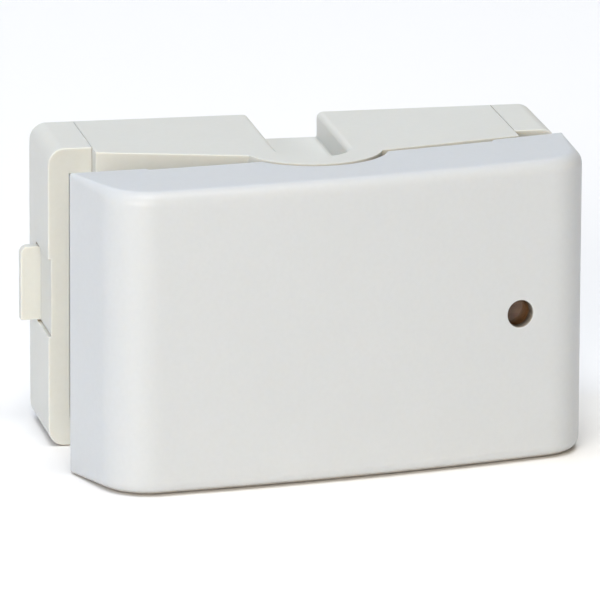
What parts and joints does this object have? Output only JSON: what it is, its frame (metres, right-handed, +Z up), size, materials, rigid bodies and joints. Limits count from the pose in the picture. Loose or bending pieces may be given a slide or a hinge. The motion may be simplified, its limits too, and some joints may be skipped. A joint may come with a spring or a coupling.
{
  "type": "garage door opener light receiver",
  "caption": "White wall-mounted light receiver of a garage door opener: a flat closed head with a small light port swivels on a shallow base with side latches.",
  "frame": {"origin": "centre of the wall face, in the middle of the four wall-screw holes", "axes": "+X to the right, +Y into the wall, +Z up"},
  "size_m": [0.109, 0.0631, 0.0602],
  "materials": {
    "base_plastic": "satin moulded, warm white",
    "head_plastic": "satin moulded, white",
    "black_plastic": "fine spark-eroded texture",
    "rubber": "matt",
    "steel": "zinc plated",
    "brass": "nickel-free, slightly dull",
    "board": "phenolic laminate with a clear lacquer",
    "terminal_green": "moulded",
    "relay_case": "moulded",
    "capacitor_sleeve": "shrunk sleeve",
    "suppressor_coat": "dipped epoxy",
    "trimmer_blue": "moulded",
    "dial_white": "moulded",
    "led_red": "diffused epoxy",
    "resistor_coat": "lacquered",
    "filter_amber": "tinted, see-through",
    "photocell_coat": "epoxy over a cadmium sulphide track"
  },
  "bodies": {
    "base": {"wall_bracket": "base_plastic", "wall_seal": "rubber", "cable_grommet": "rubber", "swivel_carrier": "base_plastic", "upper_pivot_pin": "steel", "lower_pivot_pin": "steel", "upper_wave_washer": "steel", "lower_wave_washer": "steel"},
    "head": {"head_shell": "head_plastic", "head_chassis": "head_plastic", "head_seal": "rubber", "cover_screws": "steel", "circuit_board": "board", "board_screws": "steel", "terminal_block": "terminal_green", "terminal_screws": "brass", "relay": "relay_case", "smoothing_capacitor": "capacitor_sleeve", "surge_suppressor": "suppressor_coat", "voltage_regulator": "black_plastic", "controller_chip": "black_plastic", "crystal": "steel", "sensitivity_trimmer": "trimmer_blue", "status_led": "led_red", "resistors": "resistor_coat", "diodes": "black_plastic", "transistor": "black_plastic", "mode_jumper": "black_plastic", "sensor_tube": "black_plastic", "light_filter": "filter_amber", "photocell": "photocell_coat"},
    "left_latch_lever": {"left_latch": "base_plastic"},
    "right_latch_lever": {"right_latch": "base_plastic"},
    "trimmer": {"trimmer_dial": "dial_white"}
  },
  "joints": [
    {"name": "head_swivel", "type": "hinge", "parent": "base", "child": "head", "pos_m": [0, -0.0305, 0], "axis": [0, 0, 1], "range_deg": [-19.6, 0]},
    {"name": "left_latch_pull", "type": "hinge", "parent": "base", "child": "left_latch_lever", "pos_m": [-0.0495, -0.0206, 0], "axis": [0, 0, 1], "range_deg": [0, 6], "stiffness_Nm_per_rad": 0.4},
    {"name": "right_latch_pull", "type": "hinge", "parent": "base", "child": "right_latch_lever", "pos_m": [0.0495, -0.0206, 0], "axis": [0, 0, -1], "range_deg": [0, 6], "stiffness_Nm_per_rad": 0.4},
    {"name": "trimmer_turn", "type": "hinge", "parent": "head", "child": "trimmer", "pos_m": [0.02632, -0.04422, 0.014], "axis": [0.1702, -0.9854, 0], "range_deg": [-135, 135]}
  ]
}
